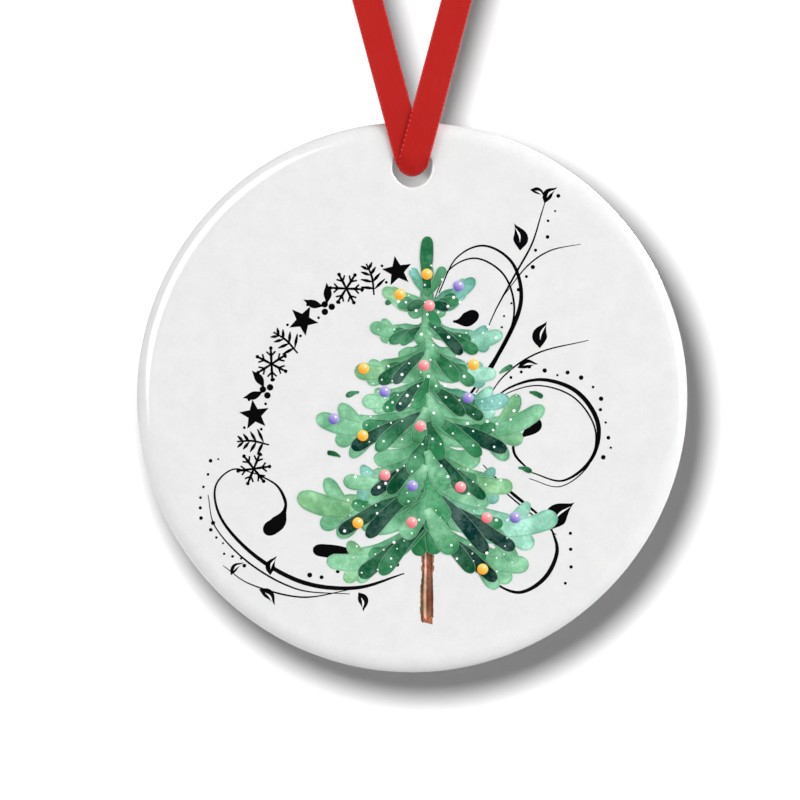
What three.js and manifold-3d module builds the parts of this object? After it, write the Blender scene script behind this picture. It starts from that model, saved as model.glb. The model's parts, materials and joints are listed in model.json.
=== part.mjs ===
// A round glazed ceramic Christmas ornament on a loop of satin ribbon, as a three.js scene graph.
//
// Millimetres, +Z up. The printed front of the disc faces -Y, and left and right are as seen from
// the front. The origin is the inner top of the ribbon loop, where it lies over its peg or twig.
//
// The ribbon is one length. Both ends go through the hole in the disc from the front, and one knot
// behind the disc holds them. It is modelled in stretches, so that it can bend where it does:
//   ribbon_upper  the loop's top and its two sides, which the peg holds
//   ribbon_lower  the two sides above the disc, which twist about the upright
//   ribbon_neck   what goes over the rim and through the hole, with the knot and its two tails
//   disc          the ceramic, which swings about the ribbon in its hole

import * as THREE from "three";
import { mergeVertices } from "three/addons/utils/BufferGeometryUtils.js";
import Module from "manifold-3d";

const wasm = await Module();
wasm.setup();

// Ceramic disc
const DISC_DIAMETER = 70;
const DISC_THICKNESS = 3;
const EDGE_ROUND_WIDTH = 2.2; // how far in over each face the soft edge reaches
const EDGE_BAND = 0.6; // straight band left round the middle of the edge
const DISC_SIDES = 96;
const HOLE_DIAMETER = 5;
const HOLE_ABOVE_CENTRE = 29.15;
const HOLE_ROUND = 0.3; // the glaze rounds both mouths of the hole
const HOLE_SIDES = 40;

// Ribbon
const RIBBON_WIDTH = 3.7;
const RIBBON_THICKNESS = 0.3;
const SIDE_LEAN = THREE.MathUtils.degToRad(14.9); // each side of the loop, from the upright
const LOOP_RADIUS = 13; // the middle of the ribbon, round its peg
const FLAT_ABOVE_HOLE = 21.5; // the sides face the front up to here, then turn edge on to the front
const BEND_ABOVE_RIM = 1.5; // the ribbon bends here when the disc tilts
const THROUGH_HOLE_RISE = 0.35; // the left end passes this far above the middle of the hole
const RISE_TO_KNOT = 0.8; // behind the disc both ends turn half upwards, this far back and up
const NECK_BEND = 1.2; // bend of the left end where it turns back into the hole

// Knot behind the disc
const KNOT_SIZE = new THREE.Vector3(7.6, 4.4, 5);
const KNOT_RISE = 3.3; // the pull of the ribbon seats the knot against the upper half of the hole
const TAIL_LENGTH = 10;
const TAIL_SPLAY = THREE.MathUtils.degToRad(50); // each tail, from straight down
const TAIL_START = 3.5; // from the middle of the knot

// Clearances
const GAP = 0.3; // between solids that touch on the real ornament
const HINGE_GAP = 0.6; // between the stretches that turn on each other above the rim

// Heights and layers that follow from the sizes above
const LOOP_CENTRE_Z = RIBBON_THICKNESS / 2 - LOOP_RADIUS;
const HOLE_Z = LOOP_CENTRE_Z - LOOP_RADIUS / Math.sin(SIDE_LEAN);
const DISC_Z = HOLE_Z - HOLE_ABOVE_CENTRE;
const BEND_Z = DISC_Z + DISC_DIAMETER / 2 + BEND_ABOVE_RIM;
const FLAT_TOP_Z = HOLE_Z + FLAT_ABOVE_HOLE;
const SIDE_TOP_Z = LOOP_CENTRE_Z - LOOP_RADIUS * Math.sin(SIDE_LEAN);
const LAYER_STEP = RIBBON_THICKNESS + GAP;
const LEFT_LAYER_Y = -(DISC_THICKNESS / 2 + GAP + RIBBON_THICKNESS / 2);
const LEFT = { name: "left", sign: -1, layer: 0 };
const RIGHT = { name: "right", sign: 1, layer: 1 };
const SIDES = [LEFT, RIGHT];

const glaze = new THREE.MeshStandardMaterial({ color: 0xf1f1ef, roughness: 0.15, metalness: 0 });
const satin = new THREE.MeshStandardMaterial({ color: 0xbe2826, roughness: 0.45, metalness: 0 });

function named(name, geometry, material) {
  const mesh = new THREE.Mesh(geometry, material);
  mesh.name = name;
  return mesh;
}

// ---- Booleans

function toSolid(geometry) {
  const bare = geometry.clone();
  bare.deleteAttribute("normal");
  bare.deleteAttribute("uv");
  const merged = mergeVertices(bare);
  const vertProperties = merged.attributes.position.array;
  const triVerts = new Uint32Array(merged.index.array);
  return new wasm.Manifold(new wasm.Mesh({ numProp: 3, vertProperties, triVerts }));
}

function toGeometry(solid) {
  const mesh = solid.getMesh();
  const geometry = new THREE.BufferGeometry();
  geometry.setAttribute("position", new THREE.BufferAttribute(mesh.vertProperties, mesh.numProp));
  geometry.setIndex(new THREE.BufferAttribute(mesh.triVerts, 1));
  geometry.computeVertexNormals();
  return geometry;
}

// ---- Ceramic disc, turned about Y, with its hole cut by a second turned body

function discBlank() {
  const radius = DISC_DIAMETER / 2;
  const face = DISC_THICKNESS / 2;
  const band = EDGE_BAND / 2;
  const roundDepth = face - band;
  const outline = new THREE.Path();
  outline.moveTo(0, -face);
  outline.lineTo(radius - EDGE_ROUND_WIDTH, -face);
  outline.absellipse(radius - EDGE_ROUND_WIDTH, -band, EDGE_ROUND_WIDTH, roundDepth, -Math.PI / 2, 0);
  outline.lineTo(radius, band);
  outline.absellipse(radius - EDGE_ROUND_WIDTH, band, EDGE_ROUND_WIDTH, roundDepth, 0, Math.PI / 2);
  outline.lineTo(0, face);
  return new THREE.LatheGeometry(outline.getPoints(4), DISC_SIDES);
}

function holeCutter() {
  const radius = HOLE_DIAMETER / 2;
  const mouth = radius + HOLE_ROUND;
  const face = DISC_THICKNESS / 2;
  const past = face + 1;
  const outline = new THREE.Path();
  outline.moveTo(0, -past);
  outline.lineTo(mouth, -past);
  outline.lineTo(mouth, -face);
  outline.absarc(mouth, HOLE_ROUND - face, HOLE_ROUND, -Math.PI / 2, -Math.PI, true);
  outline.lineTo(radius, face - HOLE_ROUND);
  outline.absarc(mouth, face - HOLE_ROUND, HOLE_ROUND, Math.PI, Math.PI / 2, true);
  outline.lineTo(mouth, past);
  outline.lineTo(0, past);
  const cutter = new THREE.LatheGeometry(outline.getPoints(2), HOLE_SIDES);
  return cutter.translate(0, 0, HOLE_ABOVE_CENTRE);
}

function ceramicDisc() {
  const solid = toSolid(discBlank()).subtract(toSolid(holeCutter()));
  const disc = named("ceramic_disc", toGeometry(solid), glaze);
  disc.position.z = DISC_Z;
  return disc;
}

// ---- Ribbon, each stretch a flat bar laid along a route

// route(t), for t from 0 to 1, gives the middle of the ribbon with the two directions of its
// section. across and outward may be longer than 1 where the section is cut at a slant.
function ribbonStretch(name, steps, route) {
  const geometry = new THREE.BoxGeometry(RIBBON_WIDTH, RIBBON_THICKNESS, 1, 1, 1, steps);
  const points = geometry.attributes.position;
  for (let i = 0; i < points.count; i++) {
    const { middle, across, outward } = route(points.getZ(i) + 0.5);
    middle.addScaledVector(across, points.getX(i)).addScaledVector(outward, points.getY(i));
    points.setXYZ(i, middle.x, middle.y, middle.z);
  }
  geometry.computeVertexNormals();
  return named(name, geometry, satin);
}

// The two sides of the loop are straight lines that meet in the middle of the hole.
function sideX(side, z) {
  return side.sign * (z - HOLE_Z) * Math.tan(SIDE_LEAN);
}

function layerY(side) {
  return LEFT_LAYER_Y - side.layer * LAYER_STEP;
}

// A side lies in its own layer at the rim, and reaches the loop's own plane at the loop's top.
function sideY(side, z) {
  const share = (SIDE_TOP_Z - z) / (SIDE_TOP_Z - BEND_Z);
  return layerY(side) * Math.min(1, share);
}

// A stretch of one side between two heights. Its sections are level.
function sideStretch(name, side, lowZ, highZ, steps) {
  return ribbonStretch(name, steps, (t) => {
    const z = THREE.MathUtils.lerp(lowZ, highZ, t);
    const turn = (Math.PI / 2) * THREE.MathUtils.smoothstep(z, FLAT_TOP_Z, SIDE_TOP_Z);
    const slant = 1 / Math.cos(SIDE_LEAN);
    return {
      middle: new THREE.Vector3(sideX(side, z), sideY(side, z), z),
      across: new THREE.Vector3(slant * Math.cos(turn), side.sign * Math.sin(turn), 0),
      outward: new THREE.Vector3(-side.sign * slant * Math.sin(turn), Math.cos(turn), 0),
    };
  });
}

// The top of the loop, which lies over the peg with its width along Y.
function loopTop() {
  const end = GAP / 2 / LOOP_RADIUS;
  return ribbonStretch("ribbon_bight", 28, (t) => {
    const angle = THREE.MathUtils.lerp(end - SIDE_LEAN, Math.PI + SIDE_LEAN - end, t);
    const outward = new THREE.Vector3(Math.cos(angle), 0, Math.sin(angle));
    const middle = outward.clone().multiplyScalar(LOOP_RADIUS);
    middle.z += LOOP_CENTRE_Z;
    return { middle, across: new THREE.Vector3(0, -1, 0), outward };
  });
}

// One end from the back of the disc through the hole, round its upper edge and up over the rim.
// The two ends bend about one line, so the right end's bend is one layer wider.
function neck(side) {
  const bend = NECK_BEND + side.layer * LAYER_STEP;
  const bendY = layerY(side) + bend;
  const throughZ = HOLE_Z + THROUGH_HOLE_RISE - side.layer * LAYER_STEP;
  const path = new THREE.Path();
  path.moveTo(DISC_THICKNESS / 2 + RISE_TO_KNOT, throughZ + RISE_TO_KNOT);
  path.lineTo(DISC_THICKNESS / 2, throughZ);
  path.lineTo(bendY, throughZ);
  path.absarc(bendY, throughZ + bend, bend, -Math.PI / 2, -Math.PI, true);
  path.lineTo(layerY(side), BEND_Z - HINGE_GAP / 2);
  return ribbonStretch("ribbon_neck_" + side.name, 18, (t) => {
    const point = path.getPointAt(t);
    const along = path.getTangentAt(t);
    return {
      middle: new THREE.Vector3(sideX(side, point.y), point.x, point.y),
      across: new THREE.Vector3(1, 0, 0),
      outward: new THREE.Vector3(0, along.y, -along.x),
    };
  });
}

// ---- Knot and tails

const KNOT_CENTRE = new THREE.Vector3(0, DISC_THICKNESS / 2 + GAP + KNOT_SIZE.y / 2, HOLE_Z + KNOT_RISE);

function knot() {
  const geometry = new THREE.SphereGeometry(0.5, 24, 16);
  geometry.rotateX(Math.PI / 2); // poles front and back
  geometry.scale(KNOT_SIZE.x, KNOT_SIZE.y, KNOT_SIZE.z);
  const lump = named("ribbon_knot", geometry, satin);
  lump.position.copy(KNOT_CENTRE);
  return lump;
}

// The tails leave the knot downwards and outwards, one layer apart, and keep clear of the hole.
function tail(side) {
  const along = new THREE.Vector3(side.sign * Math.sin(TAIL_SPLAY), 0, -Math.cos(TAIL_SPLAY));
  const start = KNOT_CENTRE.clone().addScaledVector(along, TAIL_START);
  start.y += (side.layer - 0.5) * LAYER_STEP;
  return ribbonStretch("ribbon_tail_" + side.name, 6, (t) => ({
    middle: start.clone().addScaledVector(along, t * TAIL_LENGTH),
    across: new THREE.Vector3(along.z, 0, -along.x),
    outward: new THREE.Vector3(0, 1, 0),
  }));
}

// ---- Assembly, one group for each body that moves

const ribbonUpper = new THREE.Group();
ribbonUpper.add(loopTop());
for (const side of SIDES) {
  const low = FLAT_TOP_Z + GAP / 2;
  const high = SIDE_TOP_Z - GAP / 2;
  ribbonUpper.add(sideStretch("ribbon_leg_" + side.name, side, low, high, 16));
}

const ribbonLower = new THREE.Group();
for (const side of SIDES) {
  const low = BEND_Z + HINGE_GAP / 2;
  const high = FLAT_TOP_Z - GAP / 2;
  ribbonLower.add(sideStretch("ribbon_lower_" + side.name, side, low, high, 6));
}

const ribbonNeck = new THREE.Group();
ribbonNeck.add(...SIDES.map(neck), knot(), ...SIDES.map(tail));

const disc = new THREE.Group();
disc.add(ceramicDisc());

const ornament = new THREE.Group();
ornament.add(ribbonUpper, ribbonLower, ribbonNeck, disc);

export default ornament;
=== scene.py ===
"""Looks of a souvenir Christmas ornament: a glazed ceramic disc, its print and its satin ribbon.

Sizes are in millimetres here, as in the CAD source, and become metres when a mesh is made. The
frame is the CAD's: +Z up, the printed front facing -Y, the origin at the top of the ribbon loop.
"""

import json
import math
import random

import bpy
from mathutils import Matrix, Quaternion, Vector


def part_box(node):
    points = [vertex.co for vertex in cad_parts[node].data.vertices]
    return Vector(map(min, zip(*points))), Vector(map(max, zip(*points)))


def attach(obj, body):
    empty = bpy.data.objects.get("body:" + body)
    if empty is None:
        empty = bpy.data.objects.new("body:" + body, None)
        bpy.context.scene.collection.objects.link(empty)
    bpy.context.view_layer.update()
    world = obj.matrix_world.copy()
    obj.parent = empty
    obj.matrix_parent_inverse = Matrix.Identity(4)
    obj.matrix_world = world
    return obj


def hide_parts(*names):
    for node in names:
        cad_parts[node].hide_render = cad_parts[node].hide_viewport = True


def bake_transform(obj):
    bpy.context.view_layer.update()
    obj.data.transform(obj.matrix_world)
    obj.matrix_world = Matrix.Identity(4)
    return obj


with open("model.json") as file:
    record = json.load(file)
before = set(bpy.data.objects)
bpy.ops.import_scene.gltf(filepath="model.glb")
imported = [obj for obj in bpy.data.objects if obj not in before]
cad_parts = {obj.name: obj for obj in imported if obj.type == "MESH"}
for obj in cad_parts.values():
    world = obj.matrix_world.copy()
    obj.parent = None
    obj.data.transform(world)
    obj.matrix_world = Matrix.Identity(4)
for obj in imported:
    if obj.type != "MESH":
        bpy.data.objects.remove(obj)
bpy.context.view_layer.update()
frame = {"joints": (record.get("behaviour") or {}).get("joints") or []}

MM = 0.001


def node_box(node):
    """The lowest and highest corner of a CAD node, in millimetres."""
    low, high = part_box(node)
    return low / MM, high / MM


def joint_place(name):
    """Where a joint's axis lies, in millimetres."""
    joint = next(j for j in frame["joints"] if j["name"] == name)
    return Vector(joint["pos_m"]) / MM


# Places and sizes that the frame gives
disc_low, disc_high = node_box("ceramic_disc")
DISC_RADIUS = (disc_high.x - disc_low.x) / 2
FACE = (disc_high.y - disc_low.y) / 2  # how far each face is from the disc's middle plane
DISC_Z = (disc_high.z + disc_low.z) / 2
KNOT_CENTRE = sum(node_box("ribbon_knot"), Vector()) / 2
BEND = joint_place("disc_tilt")

# Ceramic disc, as in the CAD
EDGE_ROUND = 2.2
EDGE_BAND = 0.3  # half of the straight band round the middle of the edge
HOLE_RADIUS = 2.5
HOLE_ABOVE_CENTRE = 29.15
HOLE_ROUND = 0.3
HOLE_Z = DISC_Z + HOLE_ABOVE_CENTRE

# Ribbon, as in the CAD
RIBBON_WIDTH = 3.7
SIDE_LEAN = math.radians(14.9)
LOOP_RADIUS = 13.0
LOOP_CENTRE_Z = HOLE_Z + LOOP_RADIUS / math.sin(SIDE_LEAN)
FLAT_TOP_Z = HOLE_Z + 21.5  # above this the sides turn edge on to the front
SIDE_TOP_Z = LOOP_CENTRE_Z - LOOP_RADIUS * math.sin(SIDE_LEAN)
SEAM_Z = HOLE_Z + 10.0  # the loop piece ends here, and the two necks begin

# Ribbon details that the CAD leaves out
RIBBON_HALF_THICK = 0.08
SELVEDGE_HALF_THICK = 0.13
LAYER_Y = {-1: -1.74, 1: -2.02}  # the left side lies under the right one
RIB_PITCH = 0.16  # the fine ribs across the satin
PICOT_PITCH = 0.65  # the little loops along its two sides
PICOT_REACH = 0.07
ROW_STEP = 0.16  # from one cross section to the next

# Camera
VIEW_WIDTH = 101.8  # at the distance of the disc's middle
VIEW_CENTRE = Vector((-1.53, 0, DISC_Z - 0.38))
LENS = 200.0
SENSOR = 36.0

scene = bpy.context.scene
scene.view_settings.view_transform = "Standard"
rng = random.Random(24)


def lerp(a, b, t):
    return a + (b - a) * t


def smooth(low, high, value):
    t = min(1.0, max(0.0, (value - low) / (high - low)))
    return t * t * (3 - 2 * t)


# ------------------------------ camera


def make_camera():
    data = bpy.data.cameras.new("camera")
    data.lens = LENS
    data.sensor_width = SENSOR
    camera = bpy.data.objects.new("camera", data)
    distance = VIEW_WIDTH * LENS / SENSOR
    camera.location = (VIEW_CENTRE + Vector((0, -distance, 0))) * MM
    camera.rotation_euler = (math.radians(90), 0, 0)
    scene.collection.objects.link(camera)
    scene.camera = camera


make_camera()

# ------------------------------ lines and meshes


def spaced(points, step):
    """The same line with its points a step apart, or a little less."""
    travelled = [0.0]
    for a, b in zip(points, points[1:]):
        travelled.append(travelled[-1] + (b - a).length)
    count = max(2, math.ceil(travelled[-1] / step))
    line = []
    k = 0
    for i in range(count + 1):
        goal = travelled[-1] * i / count
        while k < len(points) - 2 and travelled[k + 1] < goal:
            k += 1
        share = (goal - travelled[k]) / max(1e-9, travelled[k + 1] - travelled[k])
        line.append(points[k].lerp(points[k + 1], min(1.0, share)))
    return line


def smooth_line(points, step, closed=False):
    """A smooth line through the given points (Catmull-Rom), its own points a step apart."""
    points = [Vector(p) for p in points]
    if closed:
        ring = [points[-1], *points, points[0], points[1]]
    else:
        ring = [2 * points[0] - points[1], *points, 2 * points[-1] - points[-2]]
    dense = []
    for a, b, c, d in zip(ring, ring[1:], ring[2:], ring[3:]):
        for i in range(24):
            t = i / 24
            bend = (c - a) * t + (2 * a - 5 * b + 4 * c - d) * t**2 + (3 * b - 3 * c + d - a) * t**3
            dense.append(b + bend / 2)
    dense.append(ring[-2])
    return spaced(dense, step)


def make_piece(name, points, faces, material, rounded=True, **values):
    """A mesh object from points in millimetres. rounded shades its four-sided faces smooth, and
    values are one number or colour per point."""
    mesh = bpy.data.meshes.new(name)
    mesh.from_pydata([p * MM for p in points], [], faces)
    for key, numbers in values.items():
        kind = "FLOAT_COLOR" if key == "shade" else "FLOAT"
        attribute = mesh.attributes.new(key, kind, "POINT")
        if kind == "FLOAT":
            attribute.data.foreach_set("value", numbers)
        else:
            attribute.data.foreach_set("color", [c for colour in numbers for c in (*colour, 1.0)])
    mesh.polygons.foreach_set("use_smooth", [rounded and len(face) == 4 for face in faces])
    mesh.materials.append(material)
    mesh.validate()
    piece = bpy.data.objects.new(name, mesh)
    scene.collection.objects.link(piece)
    return piece


# ------------------------------ materials


def linear(red, green, blue):
    """A colour given in the usual 0 to 255 of a screen, as the shaders want it."""
    shares = [c / 255 for c in (red, green, blue)]
    return tuple(s / 12.92 if s <= 0.04045 else ((s + 0.055) / 1.055) ** 2.4 for s in shares)


class Shade:
    """A material whose nodes are added one call at a time."""

    def __init__(self, name):
        self.material = bpy.data.materials.new(name)
        self.material.use_nodes = True
        self.tree = self.material.node_tree
        self.shader = self.tree.nodes["Principled BSDF"]

    def put(self, node, **inputs):
        """Sets or links inputs, named with _ for each space, or in0, in1 for unnamed ones."""
        for key, value in inputs.items():
            slot = node.inputs[int(key[2:])] if key[:2] == "in" and key[2:].isdigit() else None
            slot = slot or node.inputs[key.replace("_", " ")]
            if isinstance(value, bpy.types.NodeSocket):
                self.tree.links.new(value, slot)
            else:
                slot.default_value = value

    def add(self, kind, settings=None, **inputs):
        node = self.tree.nodes.new("ShaderNode" + kind)
        for key, value in (settings or {}).items():
            setattr(node, key, value)
        self.put(node, **inputs)
        return node

    def math(self, operation, first, second=0.0, third=0.0):
        node = self.add("Math", {"operation": operation}, in0=first, in1=second, in2=third)
        return node.outputs[0]

    def value(self, name):
        return self.add("Attribute", {"attribute_name": name}).outputs["Fac"]

    def noise(self, where, scale, detail=2.0, roughness=0.5):
        node = self.add("TexNoise", Vector=where, Scale=scale, Detail=detail, Roughness=roughness)
        return node.outputs["Fac"]

    def spread(self, value, low, high, to_low=0.0, to_high=1.0):
        node = self.add("MapRange", Value=value)
        self.put(node, From_Min=low, From_Max=high, To_Min=to_low, To_Max=to_high)
        return node.outputs["Result"]

    def mix(self, share, first, second, kind="MIX"):
        node = self.add("Mix", {"data_type": "RGBA", "blend_type": kind})
        self.put(node, in0=share, in6=first, in7=second)
        return node.outputs[2]

    def bump(self, height, depth_mm, strength=1.0):
        node = self.add("Bump", Height=height, Distance=depth_mm * MM, Strength=strength)
        return node.outputs["Normal"]


def glaze_over(shade):
    """The clear gloss that covers the bare ceramic and the print alike."""
    where = shade.add("TexCoord").outputs["Object"]
    ripple = shade.noise(where, 260, 3)
    peel = shade.noise(where, 1500, 1)
    height = shade.math("MULTIPLY_ADD", peel, 0.25, ripple)
    shade.put(
        shade.shader,
        Roughness=shade.spread(shade.noise(where, 90), 0.3, 0.7, 0.09, 0.16),
        IOR=1.5,
        Normal=shade.bump(height, 0.02, 0.25),
    )


def ceramic_material():
    shade = Shade("glazed_ceramic")
    where = shade.add("TexCoord").outputs["Object"]
    cloud = shade.noise(where, 420, 4, 0.65)
    speck = shade.noise(where, 2600, 2, 0.6)
    mottle = shade.math("MULTIPLY_ADD", speck, 0.6, cloud)
    share = shade.spread(mottle, 0.6, 1.0)
    white = shade.mix(share, (0.73, 0.735, 0.735, 1), (0.78, 0.78, 0.775, 1))
    shade.put(shade.shader, Base_Color=white)
    glaze_over(shade)
    return shade.material


def print_material(name, wash):
    """Printed colour under the glaze. wash is how much the colour pools, as water colour does."""
    shade = Shade(name)
    where = shade.add("TexCoord").outputs["Object"]
    ink = shade.add("Attribute", {"attribute_name": "shade"}).outputs["Color"]
    pool = shade.noise(where, 420, 5, 0.6)
    grain = shade.noise(where, 2400, 2, 0.6)
    thin = shade.spread(shade.math("MULTIPLY_ADD", grain, 0.45, pool), 0.62, 0.9, 0, 0.85 * wash)
    pale = shade.mix(1.0, ink, (1.9, 1.6, 1.8, 1), "MULTIPLY")
    pale = shade.mix(0.12, pale, (0.7, 0.9, 0.75, 1))
    ink = shade.mix(thin, ink, pale)
    deep = shade.spread(shade.noise(where, 300, 3), 0.42, 0.58, 0, 0.8 * wash)
    ink = shade.mix(deep, ink, (0.45, 0.62, 0.55, 1), "MULTIPLY")
    rim = shade.value("rim")
    edge = shade.spread(rim, 0.1, 0.3, 0.5 * wash, 0)
    ink = shade.mix(edge, ink, (0.4, 0.55, 0.48, 1), "MULTIPLY")
    halo = shade.spread(rim, 0.03, 0.09, 0.35 * wash, 0)
    ink = shade.mix(halo, ink, (0.5, 0.68, 0.55, 1))
    shade.put(shade.shader, Base_Color=ink)
    glaze_over(shade)
    shade.put(shade.shader, Specular_IOR_Level=0.1)
    return shade.material


def satin_material():
    """Polyester satin: long fine floats along the ribbon and denser selvedges; its picot loops get a
    paler red as a painted highlight.
    """
    shade = Shade("red_satin")
    along = shade.value("along")
    across = shade.value("across")
    drawn_out = shade.math("MULTIPLY", along, 0.35)
    packed = shade.math("MULTIPLY", across, 9.0)
    streak = shade.noise(shade.add("CombineXYZ", X=drawn_out, Y=packed).outputs[0], 1.0, 3, 0.6)
    drift = shade.noise(shade.add("CombineXYZ", X=along, Y=across).outputs[0], 0.35, 2)
    base = shade.mix(shade.spread(streak, 0.3, 0.7), (0.36, 0.009, 0.008, 1), (0.42, 0.014, 0.012, 1))
    base = shade.mix(shade.spread(drift, 0.4, 0.65, 0, 0.35), base, (0.38, 0.018, 0.015, 1))
    from_middle = shade.math("ABSOLUTE", across)
    selvedge = shade.spread(from_middle, 1.5, 1.62)
    base = shade.mix(shade.math("MULTIPLY", selvedge, 0.5), base, (0.46, 0.006, 0.009, 1))
    # Painted highlight: the picot loops, real in shape through PICOT_REACH, are given a paler red as if
    # they catch the light.
    wave = shade.math("SINE", shade.math("MULTIPLY", along, 2 * math.pi / PICOT_PITCH))
    picot_highlight = shade.math("MULTIPLY", shade.spread(wave, 0.35, 0.8), shade.spread(from_middle, 1.68, 1.74))
    base = shade.mix(shade.math("MULTIPLY", picot_highlight, 0.5), base, (0.7, 0.13, 0.11, 1))
    rib = shade.math("SINE", shade.math("MULTIPLY", along, 2 * math.pi / RIB_PITCH))
    weave = shade.math("MULTIPLY_ADD", rib, 0.12, streak)
    height = shade.math("MULTIPLY", weave, shade.spread(from_middle, 1.6, 1.7, 1, 0))
    shade.put(
        shade.shader,
        Base_Color=base,
        Roughness=shade.spread(streak, 0.3, 0.7, 0.5, 0.62),
        Normal=shade.bump(height, 0.02, 0.6),
        Anisotropic=0.5,
        Specular_IOR_Level=0.4,
        Specular_Tint=(1.0, 0.12, 0.1, 1),
        Sheen_Weight=0.04,
        Sheen_Roughness=0.4,
        Sheen_Tint=(1.0, 0.1, 0.08, 1),
    )
    return shade.material


ceramic = ceramic_material()
watercolour = print_material("print_watercolour", 1.0)
line_ink = print_material("print_line_ink", 0.0)
satin = satin_material()

# ------------------------------ ribbon


def section(width):
    """The ribbon's cross section, once round: how far across, and how far out from its middle."""
    shares = (0.0, 0.25, 0.5, 0.7, 0.82, 0.88, 0.94, 0.985)
    half = []
    for share in shares:
        if share < 0.9:
            thick = lerp(RIBBON_HALF_THICK, SELVEDGE_HALF_THICK, smooth(0.8, 0.9, share))
        else:
            thick = SELVEDGE_HALF_THICK * math.sqrt(1 - ((share - 0.9) / 0.1) ** 2)
        half.append((share * width / 2, thick))
    top = [(-u, t) for u, t in reversed(half[1:])] + half
    return top + [(u, -t) for u, t in reversed(top)]


def sweep_ribbon(name, line, across, curl=lambda t: 0.0, width=lambda t: RIBBON_WIDTH, closed=False):
    """A ribbon along a line. across(t) is a direction that its width keeps near to, and curl(t)
    bends its section back from its outer face, in radians per millimetre."""
    points, along_mm, across_mm, faces = [], [], [], []
    last = len(line) - 1
    travelled = 0.0
    for i, middle in enumerate(line):
        t = i / last
        before = line[i - 1] if i or closed else line[0]
        after = line[(i + 1) % len(line)] if i < last or closed else line[last]
        tangent = (after - before).normalized()
        side = across(t)
        side = (side - tangent * side.dot(tangent)).normalized()
        outward = side.cross(tangent)
        if i:
            travelled += (middle - line[i - 1]).length
        picot = PICOT_REACH * (1 + 0.4 * math.sin(2 * math.pi * travelled / PICOT_PITCH))
        bend = curl(t) or 1e-6
        for u, thick in section(width(t) + 2 * picot):
            angle = bend * u
            normal = outward * math.cos(angle) + side * math.sin(angle)
            spine = side * math.sin(angle) / bend - outward * (1 - math.cos(angle)) / bend
            points.append(middle + spine + normal * thick)
            along_mm.append(travelled)
            across_mm.append(u)
    ring = len(points) // len(line)
    for i in range(len(line) if closed else last):
        here, there = i * ring, (i + 1) % len(line) * ring
        for k in range(ring):
            j = (k + 1) % ring
            faces.append((here + k, here + j, there + j, there + k))
    if not closed:
        # The cut ends have points of their own, so that the faces stay smooth right up to them.
        for first, order in ((0, -1), (last * ring, 1)):
            cut = list(range(first, first + ring))[::order]
            faces.append(tuple(range(len(points), len(points) + ring)))
            points += [points[k] for k in cut]
            along_mm += [along_mm[k] for k in cut]
            across_mm += [across_mm[k] for k in cut]
    piece = make_piece(name, points, faces, satin, along=along_mm, across=across_mm)
    return piece


def side_point(sign, z):
    """The middle of one side of the loop at a height, as in the CAD but with its real layers."""
    share = min(1.0, (SIDE_TOP_Z - z) / (SIDE_TOP_Z - BEND.z))
    return Vector((sign * (z - HOLE_Z) * math.tan(SIDE_LEAN), LAYER_Y[sign] * share, z))


def loop_line():
    """Up the left side, over the peg and down the right side."""
    up = [side_point(-1, lerp(SEAM_Z, SIDE_TOP_Z, i / 60)) for i in range(60)]
    over = []
    for i in range(61):
        angle = lerp(math.pi + SIDE_LEAN, -SIDE_LEAN, i / 60)
        x = LOOP_RADIUS * math.cos(angle)
        z = LOOP_CENTRE_Z + LOOP_RADIUS * math.sin(angle)
        over.append(Vector((x, 0, z)))
    down = [side_point(1, lerp(SIDE_TOP_Z, SEAM_Z, i / 60)) for i in range(1, 61)]
    return spaced(up + over + down, ROW_STEP)


def make_loop():
    """The loop, with the points that it follows and its length in millimetres."""
    line = loop_line()

    def across(t):
        point = line[round(t * (len(line) - 1))]
        turn = math.pi / 2 * smooth(FLAT_TOP_Z, SIDE_TOP_Z, point.z)
        facing = 1 if point.x < 0 else -1
        return Vector((facing * math.cos(turn), -math.sin(turn), 0))

    loop = sweep_ribbon("ribbon_loop", line, across)
    route = line[::20] + [line[-1]]
    length = sum((b - a).length for a, b in zip(line, line[1:]))
    return loop, route, length


def make_neck(name, sign):
    """One end from the seam down over the rim, curled up to pass the hole, and back to the knot."""
    front = LAYER_Y[sign]
    lift = 0.20 if sign < 0 else 0.0
    down = [side_point(sign, lerp(SEAM_Z, HOLE_Z + 2.2, i / 8)) for i in range(9)]
    through = [
        Vector((sign * 0.32, front, HOLE_Z + 1.25)),
        Vector((sign * 0.15, front + 0.10, HOLE_Z + 0.22 + lift)),
        Vector((sign * 0.04, front + 0.50, HOLE_Z - 0.58 + lift)),
        Vector((0, front + 1.15, HOLE_Z - 1.0 + lift)),
        Vector((0, 0.25, HOLE_Z - 0.98 + lift)),
        Vector((0, 1.5, HOLE_Z - 0.45 + lift)),
        Vector((0, 2.5, HOLE_Z + 0.9 + lift)),
        Vector((0, 3.2, HOLE_Z + 2.3)),
    ]
    line = smooth_line(down + through, ROW_STEP)
    length = len(line) * ROW_STEP

    def curl(t):
        return smooth(8.4, 11.6, t * length) / 1.85

    def width(t):
        return RIBBON_WIDTH * (1 - 0.3 * smooth(length - 3, length, t * length))

    return sweep_ribbon(name, line, lambda t: Vector((-1, 0, 0)), curl, width)


def make_knot():
    """An overhand knot pulled tight: one gathered strand that goes three times round itself."""
    points = []
    for i in range(48):
        a = 2 * math.pi * i / 48
        x = math.sin(a) + 2 * math.sin(2 * a)
        z = math.cos(a) - 2 * math.cos(2 * a)
        points.append(KNOT_CENTRE + Vector((x * 0.9, -math.sin(3 * a) * 0.8, z * 0.5)))
    line = smooth_line(points, 0.2, closed=True)[:-1]

    def across(t):
        a = 2 * math.pi * t
        return Vector((0.55 * math.cos(2 * a), 1.0, 0.55 * math.sin(2 * a)))

    def width(t):
        return 2.1 + 0.2 * math.sin(14 * math.pi * t)

    return sweep_ribbon("ribbon_knot_strand", line, across, lambda t: 0.75, width, closed=True)


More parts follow.
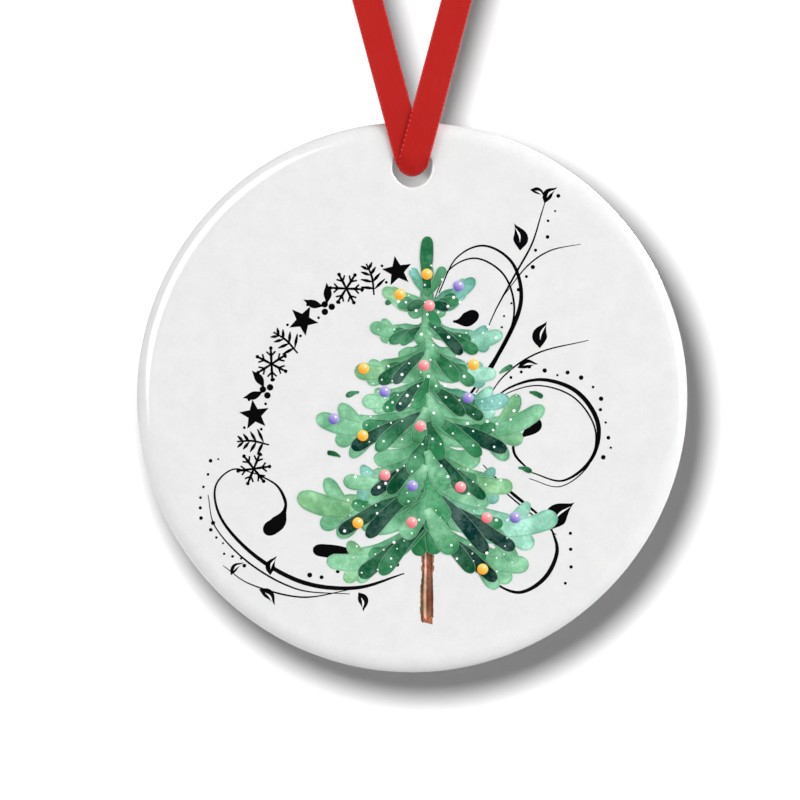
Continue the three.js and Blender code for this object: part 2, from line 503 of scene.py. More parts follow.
def make_knot_heart():
    """The gathered layers inside the knot, which show in its dimples."""
    points, faces, along_mm, across_mm = [], [], [], []
    rings, sides = 18, 48
    for i in range(1, rings):
        polar = math.pi * i / rings
        for k in range(sides):
            angle = 2 * math.pi * k / sides
            pleat = 1 + 0.05 * math.sin(9 * angle + 3 * math.cos(polar))
            x = 2.7 * pleat * math.sin(polar) * math.cos(angle)
            y = 1.35 * math.cos(polar)
            z = 1.7 * pleat * math.sin(polar) * math.sin(angle)
            points.append(KNOT_CENTRE + Vector((x, y, z)))
            along_mm.append(3 * angle)
            across_mm.append(1.4 * math.sin(9 * angle))
    for i in range(rings - 2):
        for k in range(sides):
            j = (k + 1) % sides
            low, high = i * sides, (i + 1) * sides
            faces.append((low + k, low + j, high + j, high + k))
    faces.append(tuple(reversed(range(sides))))
    faces.append(tuple(range((rings - 2) * sides, (rings - 1) * sides)))
    heart = make_piece("ribbon_knot_heart", points, faces, satin, along=along_mm, across=across_mm)
    return heart


def make_tail(name, sign):
    """One cut end, gathered where it leaves the knot and springing flat towards its tip."""
    # How far out to the side, back and up each point of the tail is from the knot's middle.
    stations = (
        (1.6, 0.0, 0.1),
        (3.2, 0.2, -0.2),
        (5.2, 0.5, -1.7),
        (7.2, 0.3, -4.0),
        (9.0, 0.2, -6.6),
        (10.4, 0.7, -9.0),
    )
    points = [KNOT_CENTRE + Vector((sign * out, back + 0.2 * sign, up)) for out, back, up in stations]
    line = smooth_line(points, ROW_STEP)

    def across(t):
        return Vector((-sign * 0.75, 0.35 * math.sin(2.6 * t), -0.66))

    def curl(t):
        return -1.3 * (1 - smooth(0.0, 0.55, t)) - 0.06

    def width(t):
        return lerp(2.6, RIBBON_WIDTH, smooth(0.1, 0.5, t))

    return sweep_ribbon(name, line, across, curl, width)


def make_ribbon():
    loop, route, length = make_loop()
    neck_left = make_neck("ribbon_neck_under", -1)
    neck_right = make_neck("ribbon_neck_over", 1)
    strand = make_knot()
    heart = make_knot_heart()
    tail_left = make_tail("ribbon_tail_a", -1)
    tail_right = make_tail("ribbon_tail_b", 1)

    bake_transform(loop)
    for neck in (neck_left, neck_right):
        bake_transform(neck)
    for piece in (strand, heart, tail_left, tail_right):
        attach(piece, "ribbon_neck")

    sides = [f"ribbon_{part}_{side}" for part in ("leg", "lower") for side in ("left", "right")]
    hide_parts("ribbon_bight", *sides)
    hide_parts("ribbon_neck_left")
    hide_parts("ribbon_neck_right")
    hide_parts("ribbon_knot")
    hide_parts("ribbon_tail_left")
    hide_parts("ribbon_tail_right")


make_ribbon()

# ------------------------------ ceramic disc


def disc_profile():
    """Rings from the hole's front mouth out over the front, round the edge and back to the hole.
    Each ring is (share, extra radius, y): share 0 is round the hole, and 1 is the whole disc."""
    mouth = []
    for i in range(5):
        angle = math.pi / 2 * i / 4
        mouth.append((HOLE_ROUND * (1 - math.cos(angle)), FACE - HOLE_ROUND * (1 - math.sin(angle))))
    across_face = [(i / 40) ** 0.9 for i in range(1, 40)]
    edge = []
    for i in range(21):
        angle = lerp(-math.pi / 2, math.pi / 2, i / 20)
        y = (FACE - EDGE_BAND) * math.sin(angle) + math.copysign(EDGE_BAND, angle)
        edge.append((1, EDGE_ROUND * math.cos(angle), y))
    front = [(0, out, -y) for out, y in mouth] + [(share, 0, -FACE) for share in across_face]
    back = [(share, extra, -y) for share, extra, y in reversed(front)]
    return front + edge + back


def make_disc():
    sides = 192
    rings = disc_profile()
    points, faces = [], []
    for share, extra, y in rings:
        radius = lerp(HOLE_RADIUS, DISC_RADIUS - EDGE_ROUND, share) + extra
        if 0 < share < 1:
            radius += HOLE_ROUND * (1 - share)
        for k in range(sides):
            angle = 2 * math.pi * k / sides
            wobble = 0.04 * share * math.sin(3 * angle + 1.0)
            x = (radius + wobble) * math.cos(angle)
            z = (radius + wobble) * math.sin(angle) + HOLE_ABOVE_CENTRE * (1 - share)
            points.append(Vector((x, y, DISC_Z + z)))
    for i in range(len(rings)):
        here, there = i * sides, (i + 1) % len(rings) * sides
        for k in range(sides):
            j = (k + 1) % sides
            faces.append((here + k, here + j, there + j, there + k))
    disc = make_piece("disc_glazed", points, faces, ceramic)
    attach(disc, "disc")
    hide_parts("ceramic_disc")


make_disc()

# ------------------------------ printed marks

# The print's own places are millimetres right of and above the middle of the disc.
INK_LIFT = 0.008  # how far the black marks stand proud of the face
TRUNK_LIFT = 0.012
WASH_LIFT = 0.014
BOUGH_LIFT = 0.023
SNOW_LIFT = 0.073
FILM_STEP = 0.0003  # in colour, each mark lies this much above the one before it
FILM_SUNK = 0.01  # how far each mark reaches into the disc

GLAZE_WHITE = (0.80, 0.80, 0.795)
BLACK = (0.002, 0.002, 0.0024)
SNOW = (0.86, 0.90, 0.88)
DARK = linear(14, 86, 52)
DEEP = linear(4, 50, 46)
MID = linear(52, 132, 84)
LIGHT = linear(126, 188, 146)
MINT = linear(146, 204, 180)
TEAL = linear(112, 176, 162)
LIME = linear(126, 182, 132)


class Print:
    """Marks of one kind on the disc's front, each a closed film a step above the last one."""

    def __init__(self, lift, step=0.0):
        self.lift, self.step = lift, step
        self.points, self.faces, self.shades, self.rims = [], [], [], []

    def height(self):
        self.lift += self.step
        return -(FACE + self.lift)

    def strip(self, rows):
        """rows are lists of (place, rim, colour) from one side of a stroke to the other."""
        top_y = self.height()
        start, wide = len(self.points), len(rows[0])
        for row in rows:
            for place, rim, colour in row:
                self.add_point(place, top_y, rim, colour)
        under = len(self.points)
        for row in rows:
            for place, rim, colour in (row[0], row[-1]):
                self.add_point(place, FILM_SUNK - FACE, rim, colour)
        for i in range(len(rows) - 1):
            here, there = start + i * wide, start + (i + 1) * wide
            below, beyond = under + 2 * i, under + 2 * i + 2
            for k in range(wide - 1):
                self.faces.append((here + k, here + k + 1, there + k + 1, there + k))
            self.faces.append((below + 1, below, beyond, beyond + 1))
            self.faces.append((below, here, there, beyond))
            self.faces.append((here + wide - 1, below + 1, beyond + 1, there + wide - 1))
        first = [start + k for k in range(wide)]
        last = [start + (len(rows) - 1) * wide + k for k in range(wide)]
        self.faces.append((*reversed(first), under, under + 1))
        self.faces.append((*last, under + 2 * len(rows) - 1, under + 2 * len(rows) - 2))

    def patch(self, centre, rings):
        """rings are closed outlines of (place, colour) from the inside out, round a centre."""
        top_y = self.height()
        middle, colour = centre
        start, sides = len(self.points), len(rings[0])
        self.add_point(middle, top_y, 1.0, colour)
        self.add_point(middle, FILM_SUNK - FACE, 1.0, colour)
        for ring in rings:
            for place, colour in ring:
                self.add_point(place, top_y, 1.0, colour)
        for place, colour in rings[-1]:
            self.add_point(place, FILM_SUNK - FACE, 1.0, colour)
        for i in range(len(rings) + 1):
            ring = start + 2 + i * sides
            for k in range(sides):
                j = (k + 1) % sides
                if i == 0:
                    self.faces.append((start, ring + k, ring + j))
                else:
                    self.faces.append((ring - sides + k, ring + k, ring + j, ring - sides + j))
                if i == len(rings):
                    self.faces.append((start + 1, ring + j, ring + k))

    def add_point(self, place, y, rim, colour):
        self.points.append(Vector((place.x, y, DISC_Z + place.y)))
        self.rims.append(rim)
        self.shades.append(colour)

    def build(self, name, material):
        piece = make_piece(
            name, self.points, self.faces, material, rounded=False, shade=self.shades, rim=self.rims
        )
        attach(piece, "disc")


def turned(angle, length=1.0):
    return Vector((math.cos(angle), math.sin(angle))) * length


def colour_between(a, b, t):
    return tuple(lerp(x, y, t) for x, y in zip(a, b))


def pen(marks, places, widest, thin=0.06, peak=0.5, colour=BLACK):
    """A pen stroke through the places, whose half width swells to widest and thins at its ends."""
    line = smooth_line(places, 0.3)
    last = len(line) - 1
    power = math.log(0.5) / math.log(peak)
    rows = []
    for i, place in enumerate(line):
        t = i / last
        ahead = line[min(last, i + 1)] - line[max(0, i - 1)]
        left = Vector((-ahead.y, ahead.x)).normalized()
        half = lerp(thin, widest, math.sin(math.pi * t**power) ** 1.5)
        rows.append([(place + left * half, 1.0, colour), (place - left * half, 1.0, colour)])
    marks.strip(rows)


def brush(marks, start, middle, end, half_width, near, far, root=0.45):
    """A brush stroke with a round tip, which heads for the middle place and bends to its end."""
    start, middle, end = Vector(start), Vector(middle), Vector(end)
    length = (end - start).length
    round_from = 1 - min(0.6, 1.15 * half_width / length)
    phase = rng.uniform(0, 6.3)
    rows = []
    for i in range(15):
        # The rows crowd towards the round tip.
        t = min(0.997, 1 - (1 - i / 14) ** 1.7 * 0.999) if i else 0.0
        place = start * (1 - t) ** 2 + middle * 2 * t * (1 - t) + end * t**2
        forward = (middle - start) * (1 - t) + (end - middle) * t
        side = Vector((-forward.y, forward.x)).normalized()
        tip = math.sqrt(1 - max(0.0, (t - round_from) / (1 - round_from)) ** 2)
        body = lerp(root, 1.0, smooth(0, 0.6, t)) * (1 + 0.07 * math.sin(9 * t + phase))
        half = half_width * body * tip
        to_tip = (1 - t) * length
        row = []
        for share in (-1, -0.93, -0.82, -0.6, -0.25, 0.25, 0.6, 0.82, 0.93, 1):
            rim = min(half * (1 - abs(share)), to_tip)
            row.append((place + side * half * share, rim, colour_between(near, far, t**1.2)))
        rows.append(row)
    marks.strip(rows)


def dot(marks, centre, radius, colour, light=None):
    """A round dot. With a light colour it is shaded as a ball lit from its upper right."""
    sides = 24 if light else 14
    shares = (0.35, 0.6, 0.82, 1.0) if light else (1.0,)
    rings = []
    for share in shares:
        ring = []
        for k in range(sides):
            spoke = turned(2 * math.pi * k / sides, share)
            shine = smooth(-1.0, 0.9, spoke.x * 0.5 + spoke.y * 0.8)
            shade = colour_between(colour, light, shine) if light else colour
            ring.append((centre + spoke * radius, shade))
        rings.append(ring)
    middle = colour_between(colour, light, 0.55) if light else colour
    marks.patch((centre, middle), rings)


def leaf(marks, base, tip, half_width, bow=0.15):
    """A pointed leaf with a fine vein left open along half of it."""
    base, tip = Vector(base), Vector(tip)
    ahead = tip - base
    left = Vector((-ahead.y, ahead.x))
    belly = base + ahead * 0.5 + left * bow
    pen(marks, [base, belly, tip], half_width, 0.02, 0.42)
    places = ((0.3, 0.5), (0.55, 0.75), (0.85, 0.0))
    vein = [base + ahead * along + left * bow * out for along, out in places]
    marks.lift += 0.002
    pen(marks, vein, 0.13, 0.02, colour=GLAZE_WHITE)
    marks.lift -= 0.002


# ------------------------------ black scrolls


def trail(marks, places, count, size, side=1.0):
    """Dots that follow a scroll at a little distance, getting smaller."""
    line = smooth_line(places, 0.5)
    for i in range(count):
        k = round(lerp(1, len(line) - 2, i / max(1, count - 1)))
        ahead = (line[k + 1] - line[k - 1]).normalized()
        off = Vector((-ahead.y, ahead.x)) * side * rng.uniform(0.8, 2.0)
        dot(marks, line[k] + off, size * rng.uniform(0.45, 1.0), BLACK)


def drop(marks, start, end, half_width, bow, root):
    """A black drop at the end of a scroll. bow bends it to the left, as a share of its length."""
    start, end = Vector(start), Vector(end)
    ahead = end - start
    middle = (start + end) / 2 + Vector((-ahead.y, ahead.x)) * bow
    brush(marks, start, middle, end, half_width, BLACK, BLACK, root)


def right_scrolls(marks):
    arch = [(3.4, 13.2), (5.6, 17.6), (9.2, 19.2), (12.8, 16.9), (13.8, 12.0), (11.4, 6.2)]
    arch += [(8.0, 1.2), (4.5, -3)]
    pen(marks, arch, 0.28, 0.08, 0.62)
    pen(marks, [(x - 0.5 - 0.03 * z, z - 1.6) for x, z in arch[:7]], 0.13, 0.06)
    drop(marks, (5.2, 9.6), (8.2, 10.9), 0.95, -0.3, 0.15)
    sprig = [(9.0, 7.2), (10.6, 11.0), (13.0, 15.4), (15.2, 19.4), (16.4, 23.2), (17.4, 26.4)]
    pen(marks, sprig, 0.13, 0.05)
    pen(marks, [(11.6, 12.8), (14.6, 16.6), (17.6, 18.6), (21.4, 19.4)], 0.1, 0.04)
    leaf(marks, (13.7, 18.6), (13.0, 22.0), 0.95, -0.12)
    leaf(marks, (16.8, 24.6), (18.4, 26.6), 0.62)
    leaf(marks, (15.0, 26.3), (16.9, 25.4), 0.42)
    trail(marks, sprig, 12, 0.28, -0.8)
    spray = [(8.8, -1.6), (11.6, 2.6), (16.0, 5.6), (22.4, 7.2)]
    pen(marks, spray, 0.11, 0.05)
    leaf(marks, (16.2, 6.2), (17.1, 9.6), 0.95, 0.12)
    leaf(marks, (13.4, 3.7), (16.0, 4.2), 0.55, 0.12)
    loop = [(9.4, -1.2), (12.4, 1.2), (16.6, 2.2), (21.0, 0.6), (23.6, -3.4), (22.8, -7.8)]
    loop += [(19.2, -10.6), (15.2, -9.6)]
    pen(marks, loop, 0.29, 0.08, 0.5)
    pen(marks, [(x - 0.35, z - 0.75) for x, z in loop], 0.11, 0.05)
    pen(marks, [(15.2, -9.6), (13.0, -7.2), (13.2, -4.8), (14.6, -3.6)], 0.17, 0.09)
    drop(marks, (13.9, -5.0), (16.0, -2.7), 0.95, -0.15, 0.2)
    trail(marks, loop[1:6], 14, 0.3, 1.0)
    low = [(9.0, -8.6), (12.0, -11.6), (15.4, -14.4), (18.0, -16.6)]
    pen(marks, low, 0.2, 0.06)
    pen(marks, [(x + 0.3, z - 0.9) for x, z in low], 0.1, 0.05)
    leaf(marks, (17.2, -16.9), (20.6, -13.4), 1.4, 0.1)
    bowl = [(17.6, -16.4), (18.4, -19.6), (16.8, -23.0), (13.6, -24.8), (10.4, -23.4), (9.4, -20.6)]
    pen(marks, bowl, 0.27, 0.07, 0.35)
    trail(marks, [(19.0, -17.0), (19.6, -21.0), (18.4, -23.6)], 4, 0.28, 0.6)


def left_scrolls(marks):
    sweep = [(-1.0, -22.4), (-7.0, -24.2), (-13.6, -23.6), (-19.6, -20.4), (-24.0, -15.8)]
    sweep += [(-25.0, -11.6), (-22.8, -9.2), (-19.6, -9.8)]
    pen(marks, sweep, 0.28, 0.08, 0.35)
    pen(marks, [(x - 0.9, z - 0.8) for x, z in sweep[1:6]], 0.12, 0.05)
    pen(marks, [(-19.6, -9.8), (-17.2, -11.2), (-16.1, -13.2), (-16.1, -15.0)], 0.2, 0.1, 0.7)
    drop(marks, (-16.1, -13.8), (-18.9, -17.0), 1.0, 0.35, 0.12)
    drop(marks, (-4.4, -21.6), (-12.6, -19.4), 0.85, -0.12, 0.12)
    pen(marks, [(-7.6, -24.4), (-14.0, -25.4), (-20.4, -23.8), (-24.0, -21.4)], 0.11, 0.05)
    leaf(marks, (-19.4, -24.4), (-17.4, -26.4), 0.6)
    leaf(marks, (-18.0, -22.6), (-17.2, -20.2), 0.6)
    leaf(marks, (-6.8, -24.8), (-6.2, -27.2), 0.65)
    leaf(marks, (-23.0, -22.6), (-21.4, -21.0), 0.42)
    trail(marks, sweep[3:7], 15, 0.27, 1.4)
    trail(marks, sweep[:3], 8, 0.36, -1.2)


# ------------------------------ garland of small motifs

GARLAND_CENTRE = Vector((2.0, -6.0))
GARLAND_RADIUS = 22.3
GARLAND_START = 188.0  # degrees
GARLAND_END = 100.0
MOTIFS = 11


def on_garland(turn, size=1.2):
    """Turns a motif's own right and up into places on the disc, up being out along the arc."""
    out = turned(turn)
    right = Vector((out.y, -out.x))
    centre = GARLAND_CENTRE + out * GARLAND_RADIUS
    return lambda x, z: centre + (right * x + out * z) * size


def snowflake(marks, at):
    for k in range(6):
        arm = turned(math.pi * k / 3 + math.pi / 6)
        pen(marks, [at(0, 0), at(*(arm * 1.65))], 0.17, 0.12)
        for side in (-1, 1):
            barb = arm * 0.95 + turned(math.pi * k / 3 + math.pi / 6 + side * 0.9, 0.62)
            pen(marks, [at(*(arm * 0.85)), at(*barb)], 0.12, 0.1)
        dot(marks, at(*(arm * 1.68)), 0.24, BLACK)


def star(marks, at):
    outline = []
    for k in range(10):
        reach = 1.65 if k % 2 == 0 else 0.72
        outline.append((at(*turned(math.pi / 2 + math.pi * k / 5, reach)), BLACK))
    marks.patch((at(0, 0), BLACK), [outline])


def pine_sprig(marks, at):
    pen(marks, [at(-0.3, -1.8), at(0.1, 0), at(0, 1.6)], 0.14, 0.1)
    for level in (-1.0, -0.25, 0.5, 1.1):
        for side in (-1, 1):
            reach = 1.35 - 0.35 * (level + 1)
            pen(marks, [at(0, level - 0.2), at(side * reach, level + 0.45)], 0.2, 0.06)


def holly(marks, at):
    for side in (-1, 1):
        pen(marks, [at(side * 0.2, -0.3), at(side * 0.95, 0.55), at(side * 1.5, 1.5)], 0.52, 0.04)
    for x, z in ((-0.45, -0.85), (0.45, -0.85), (0, -0.2)):
        dot(marks, at(x, z), 0.42, BLACK)


def garland_turn(step):
    return math.radians(lerp(GARLAND_START, GARLAND_END, step / (MOTIFS - 1)))


def garland(marks):
    """The motifs along the arc, with a pair of small dots between one and the next."""
    motifs = (snowflake, pine_sprig, star, holly)
    for i in range(MOTIFS):
        motifs[i % len(motifs)](marks, on_garland(garland_turn(i)))
        if i:
            for z in (-0.9, 0.9):
                dot(marks, on_garland(garland_turn(i - 0.5))(0, z), 0.18, BLACK)


# ------------------------------ watercolour tree

TREE_X = 1.9
SNOW_DOTS = 150
BAUBLES = 20
BOUGHS = (
    # side, height of the root, reach of the tips, how far the tips end above the root
    (-1, -16.2, 12.4, -4.6),
    (1, -15.6, 13.0, -5.4),
    (-1, -11.2, 16.6, -1.0),
    (1, -11.6, 16.8, -3.2),
    (-1, -6.6, 10.6, -3.6),
    (1, -7.0, 11.2, -4.6),
    (-1, -1.8, 14.2, -0.4),
    (1, -2.6, 15.2, 1.4),
    (-1, 2.0, 8.4, -2.4),
    (1, 1.8, 9.8, -1.6),
    (-1, 5.6, 9.0, -2.2),
    (1, 5.8, 8.2, -2.8),
    (-1, 9.0, 7.2, 0.4),
    (1, 9.2, 9.0, -1.2),
    (-1, 11.8, 5.2, 1.8),
    (1, 11.6, 5.6, 3.4),
)
WASHES = (LIGHT, MINT, LIGHT, TEAL, LIGHT, LIME)
ACCENTS = (DARK, DEEP, DARK)


def sagging(root, tip, sag, t):
    """A place on the bough's line, which hangs below the straight line from root to tip."""
    middle = (root + tip) / 2 - Vector((0, sag))
    return root * (1 - t) ** 2 + middle * 2 * t * (1 - t) + tip * t**2


def finger(marks, strokes, root, tip, sag, span, offset, half_width, colours):
    """A stroke that follows the bough's line over a span of it, and ends offset from the line."""
    first, last = span
    near, far = colours
    start = sagging(root, tip, sag, first)
    end = sagging(root, tip, sag, last) + offset * rng.uniform(0.85, 1.15)
    middle = 2 * sagging(root, tip, sag, (first + last) / 2) - (start + end - offset * 0.4) / 2
    brush(marks, start, middle, end, half_width * rng.uniform(0.9, 1.1), near, far, 0.5)
    strokes.append((start, end))


def bough(marks, strokes, side, root_z, reach, rise):
    """A pale wash that splits into fingers at its tip, with darker needles on it and under it."""
    root = Vector((TREE_X + side * 0.2, root_z + rng.uniform(-0.3, 0.3)))
    tip = root + Vector((side * reach, rise)) * rng.uniform(0.95, 1.05)
    sag = reach * rng.uniform(0.26, 0.4)
    full = min(1.0, reach / 16)
    heavy = lerp(0.62, 1.15, full)
    wash, tint = rng.choice(WASHES), rng.choice(WASHES)
    out, up = Vector((side * reach, 0)), Vector((0, reach))
    line = (root, tip, sag)
    finger(marks, strokes, *line, (0, 0.72), up * 0, heavy * 1.6, (MID, wash))
    finger(marks, strokes, *line, (0.3, 0.84), -up * 0.17 - out * 0.02, heavy, (wash, tint))
    finger(marks, strokes, *line, (0.42, 0.8), up * 0.2 - out * 0.02, heavy * 0.9, (wash, tint))
    finger(marks, strokes, *line, (0.34, 1.0), up * 0, heavy * 1.05, (wash, wash))
    if full > 0.6:
        finger(marks, strokes, *line, (0.3, 0.66), -up * 0.24 + out * 0.02, heavy * 0.95, (MID, LIGHT))
    finger(marks, strokes, *line, (0.14, 0.58), up * 0.05, heavy * 0.82, (DARK, MID))
    for span, fall in (((0.08, 0.62), 0.16), ((0.02, 0.4), 0.2)):
        colours = (rng.choice(ACCENTS), rng.choice((DARK, DEEP, MID)))
        finger(marks, strokes, *line, span, -up * fall + out * 0.05, heavy * 0.84, colours)


def underpainting(marks):
    """Broad strokes behind the boughs, which fill the tree between them and above the trunk."""
    for i in range(11):
        t = i / 10
        root = Vector((TREE_X, lerp(12.0, -11.5, t)))
        reach = lerp(2.4, 8.6, t)
        for side in (-1, 1):
            middle = root + Vector((side * 0.35, -0.72)) * reach
            end = root + Vector((side, -0.45)) * reach
            brush(marks, root, middle, end, lerp(0.8, 1.5, t), MID, LIGHT, 0.6)
    for x, low in ((-3.0, -19.2), (2.8, -19.4), (-1.1, -20.2), (1.0, -20.0)):
        root = Vector((TREE_X + x * 0.3, -13.5))
        end = Vector((TREE_X + x, low))
        brush(marks, root, root.lerp(end, 0.5), end, 1.1, DARK, MID, 0.6)
    brush(marks, (TREE_X, 7.6), (TREE_X, 11.2), (TREE_X, 14.8), 0.85, LIGHT, DARK, 0.8)


def heart_of_tree(marks, strokes):
    """Strokes that hang down along the stem and hide where the boughs meet it."""
    for i in range(15):
        t = i / 14
        start = Vector((TREE_X + rng.uniform(-0.3, 0.3), lerp(11.6, -14.2, t)))
        lean = (-1) ** i * rng.uniform(14, 34)
        end = start + turned(math.radians(lean - 90), lerp(3.0, 6.6, t))
        middle = start.lerp(end, 0.5) - Vector((math.sin(math.radians(lean)) * 0.7, 0))
        near, far = rng.choice(((MID, LIGHT), (DARK, MID), (LIGHT, MID), (MID, MID)))
        brush(marks, start, middle, end, lerp(0.62, 1.35, t), near, far, 0.35)
        strokes.append((start, end))


def tree_top(marks, strokes):
    for x, z, reach, lift in ((0.2, 12.8, 4.2, 62), (-0.2, 13.0, 3.8, 118), (0.0, 13.6, 3.2, 84)):
        start = Vector((TREE_X + x, z))
        end = start + turned(math.radians(lift), reach)
        brush(marks, start, start.lerp(end, 0.5), end, 0.62, MID, rng.choice((LIGHT, TEAL)))
        strokes.append((start, end))
    brush(marks, (TREE_X, 13.8), (TREE_X - 0.2, 17), (TREE_X + 0.1, 20.4), 0.82, DARK, MID, 0.7)


def tree_boughs(marks):
    strokes = []
    for side, root_z, reach, rise in BOUGHS:
        bough(marks, strokes, side, root_z, reach, rise)
    heart_of_tree(marks, strokes)
    tree_top(marks, strokes)
    return strokes


def loose_dabs(marks):
    """Small flicks of paint that lie clear of the boughs."""
    for x, z in ((-8.6, 0.6), (13.0, 0.6), (-11.0, -7.6), (11.6, -9.0), (-3.6, 12.4), (9.2, 3.0)):
        start = Vector((TREE_X + x, z))
        end = start + Vector((math.copysign(1.7, x), rng.uniform(-0.8, 0.9)))
        brush(marks, start, start.lerp(end, 0.5) + Vector((0, 0.3)), end, 0.36, MID, DARK)


def tree_trunk(marks):
    """Upright strokes of brown, uneven at their sides and ragged at the foot."""
    for x, half, low, colour in (
        (0.0, 0.8, -28.5, linear(164, 98, 68)),
        (0.32, 0.34, -28.2, linear(132, 74, 50)),
        (-0.26, 0.16, -27.9, linear(222, 172, 146)),
        (-0.62, 0.15, -28.4, linear(112, 58, 40)),
        (0.66, 0.15, -27.7, linear(104, 52, 36)),
        (0.08, 0.07, -26.8, linear(118, 62, 42)),
    ):
        top = Vector((TREE_X + x * 0.75, -17.4))
        foot = Vector((TREE_X + x, low))
        bend = Vector((rng.uniform(-0.12, 0.12), 0))
        line = smooth_line([top, top.lerp(foot, 0.35) + bend, top.lerp(foot, 0.7) - bend, foot], 0.35)
        rows = []
        for i, place in enumerate(line):
            width = half * rng.uniform(0.84, 1.1)
            ragged = Vector((0, rng.uniform(-0.25, 0.25) if i == len(line) - 1 else 0))
            row = []
            for share, rim in ((1, 0), (0.7, 0.3), (0, 0.5), (-0.7, 0.3), (-1, 0)):
                row.append((place + ragged * (1 + share) + Vector((width * share, 0)), rim, colour))
            rows.append(row)
        marks.strip(rows)


def snow(marks, strokes):
    """Fine white dots over the boughs, no two of them close together."""
    spots = []
    while len(spots) < SNOW_DOTS:
        start, end = rng.choice(strokes)
        place = start.lerp(end, rng.uniform(0.2, 0.95))
        spot = place + Vector((rng.uniform(-0.7, 0.7), rng.uniform(-0.7, 0.7)))
        if all((spot - other).length > 0.9 for other in spots):
            spots.append(spot)
            dot(marks, spot, rng.choice((0.09, 0.11, 0.13, 0.16, 0.2)), SNOW)


def baubles(marks, strokes):
    """Round balls in three colours, well apart, towards the tips of the strokes."""
    paints = (
        (linear(238, 150, 30), linear(252, 216, 110)),
        (linear(222, 96, 112), linear(250, 180, 180)),
        (linear(104, 84, 176), linear(190, 180, 235)),
    )
    places = [Vector((TREE_X, 15.6)), Vector((TREE_X + 0.3, 11.6))]
    while len(places) < BAUBLES:
        start, end = rng.choice(strokes)
        place = start.lerp(end, rng.uniform(0.5, 0.85))
        if all((place - other).length > 3.5 for other in places):
            places.append(place)
    for i, place in enumerate(places):
        dark, light = paints[i % 3]
        dot(marks, place, 0.7, dark, light)
        dot(marks, place + Vector((0.22, 0.26)), 0.15, (0.9, 0.88, 0.85))


def make_print():
    black = Print(INK_LIFT)
    right_scrolls(black)
    left_scrolls(black)
    garland(black)
    black.build("print_scrolls", line_ink)
    trunk = Print(TRUNK_LIFT, FILM_STEP)
    tree_trunk(trunk)
    trunk.build("print_trunk", watercolour)
    boughs = Print(BOUGH_LIFT, FILM_STEP)
    loose_dabs(boughs)
    strokes = tree_boughs(boughs)
    boughs.build("print_boughs", watercolour)
    bright = Print(SNOW_LIFT)
    snow(bright, strokes)
    bright.step = FILM_STEP
    baubles(bright, strokes)
    bright.build("print_snow_and_baubles", line_ink)
    washes = Print(WASH_LIFT, FILM_STEP)
    underpainting(washes)
    washes.build("print_washes", watercolour)


make_print()

# ------------------------------ stage and light

AMBIENT = 0.12  # the strength of the light from all round
WALL_Y = 62.0  # further back than the disc reaches at any pose
WALL_HALF = 125.0
WALL_TOP = 40.0
FLOOR_Z = DISC_Z - DISC_RADIUS - 60
FLOOR_HALF = 1000.0
CORNERS = ((-1, -1), (1, -1), (1, 1), (-1, 1))


def make_panel(name, corners, material):
    mesh = bpy.data.meshes.new(name)
    mesh.from_pydata([Vector(c) * MM for c in corners], [], [(0, 1, 2, 3)])
    mesh.materials.append(material)
    panel = bpy.data.objects.new(name, mesh)
    scene.collection.objects.link(panel)
    return panel


def panel_material(name, colour):
    """A matt panel that shows from its front only, so that it never hides the ornament."""
    shade = Shade(name)
    shade.put(shade.shader, Base_Color=(colour, colour, colour, 1))
    shade.put(shade.shader, Roughness=0.9, Specular_IOR_Level=0.0)
    behind = shade.add("NewGeometry").outputs["Backfacing"]
    clear = shade.add("BsdfTransparent").outputs[0]
    seen = shade.add("MixShader", in0=behind, in1=shade.shader.outputs[0], in2=clear)
    shade.put(shade.tree.nodes["Material Output"], Surface=seen.outputs[0])
    return shade.material


def lit_group(name, state, *panels):
    """What a light shines on: these panels alone, or everything but them."""
    group = bpy.data.collections.new(name)
    for panel in panels:
        group.objects.link(panel)
    for member in group.collection_objects:
        member.light_linking.link_state = state
    return group


floor = make_panel(
    "floor",
    [(x * FLOOR_HALF, y * FLOOR_HALF, FLOOR_Z) for x, y in CORNERS],
    panel_material("floor_pale", 0.8),
)
wall = make_panel(
    "wall",
    [(x * WALL_HALF, WALL_Y, WALL_TOP if z > 0 else FLOOR_Z) for x, z in CORNERS],
    panel_material("wall_white", 1.0),
)
# The panels throw neither light nor shadow on the ornament.
for panel in (floor, wall):
    panel.visible_diffuse = False
    panel.visible_shadow = False
wall.visible_glossy = False
off_the_stage = lit_group("off_the_stage", "EXCLUDE", floor, wall)


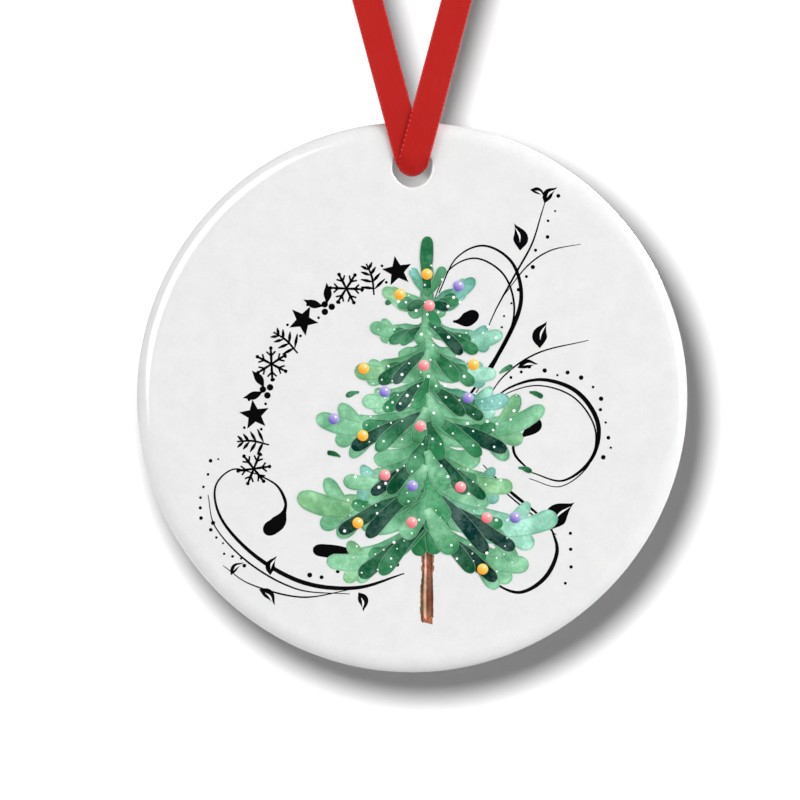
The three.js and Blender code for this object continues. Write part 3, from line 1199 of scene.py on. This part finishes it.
def area_light(name, towards, far, wide, tall, power, roll=0.0, matte=True, gloss=True):
    """A soft light. towards is the way from the disc to the light, which is far metres away.
    matte and gloss say whether it lights dull surfaces and whether it shows in glossy ones."""
    data = bpy.data.lights.new(name, "AREA")
    data.shape = "ELLIPSE" if matte else "RECTANGLE"
    data.size = wide
    data.size_y = tall
    data.energy = power
    lamp = bpy.data.objects.new(name, data)
    away = Vector(towards).normalized()
    facing = away.to_track_quat("Z", "Y") @ Quaternion((0, 0, 1), roll)
    lamp.rotation_mode = "QUATERNION"
    lamp.rotation_quaternion = facing
    lamp.location = Vector((0, 0, DISC_Z)) * MM + away * far
    lamp.visible_diffuse = matte
    lamp.visible_glossy = gloss
    lamp.light_linking.receiver_collection = off_the_stage
    scene.collection.objects.link(lamp)
    return lamp


def floor_light():
    """Even light from straight above, for the floor alone."""
    data = bpy.data.lights.new("floor_light", "SUN")
    data.energy = 3.4
    data.angle = math.radians(40)
    lamp = bpy.data.objects.new("floor_light", data)
    lamp.light_linking.receiver_collection = lit_group("on_the_floor", "INCLUDE", floor)
    scene.collection.objects.link(lamp)


def make_world():
    world = bpy.data.worlds.new("studio")
    world.use_nodes = True
    nodes, links = world.node_tree.nodes, world.node_tree.links
    ambient = nodes["Background"]
    ambient.inputs["Color"].default_value = (1, 1, 1, 1)
    ambient.inputs["Strength"].default_value = AMBIENT
    backdrop = nodes.new("ShaderNodeBackground")
    backdrop.inputs["Color"].default_value = (1, 1, 1, 1)
    backdrop.inputs["Strength"].default_value = 1.0
    seen = nodes.new("ShaderNodeLightPath")
    choose = nodes.new("ShaderNodeMixShader")
    links.new(seen.outputs["Is Camera Ray"], choose.inputs[0])
    links.new(ambient.outputs[0], choose.inputs[1])
    links.new(backdrop.outputs[0], choose.inputs[2])
    links.new(choose.outputs[0], nodes["World Output"].inputs["Surface"])
    scene.world = world


area_light("left_soft", (-0.9, -0.42, 0.05), 1, 0.9, 0.9, 8.0, gloss=False)
area_light("right_soft", (0.9, -0.42, 0.22), 1, 0.9, 0.9, 12.5)
area_light("top_soft", (0.1, -0.42, 0.9), 1, 0.9, 0.9, 5.3, gloss=False)
area_light("low_soft", (0, -0.42, -0.9), 1, 0.9, 0.9, 3.8, gloss=False)
area_light("left_streak", (-0.51, -0.9, 0.34), 1, 0.42, 0.62, 9.5, math.radians(-31), matte=False)
area_light("back_soft", (0.45, 1.0, 0.5), 2, 0.9, 0.9, 45.0)
# The drop shadow behind the ornament comes from a light of its own, beside the camera.
shadow_light = area_light("shadow_light", (-0.0372, -1.0, 0.0430), 0.425, 0.031, 0.031, 2.19)
shadow_light.light_linking.receiver_collection = lit_group("on_the_wall", "INCLUDE", wall)
floor_light()
make_world()
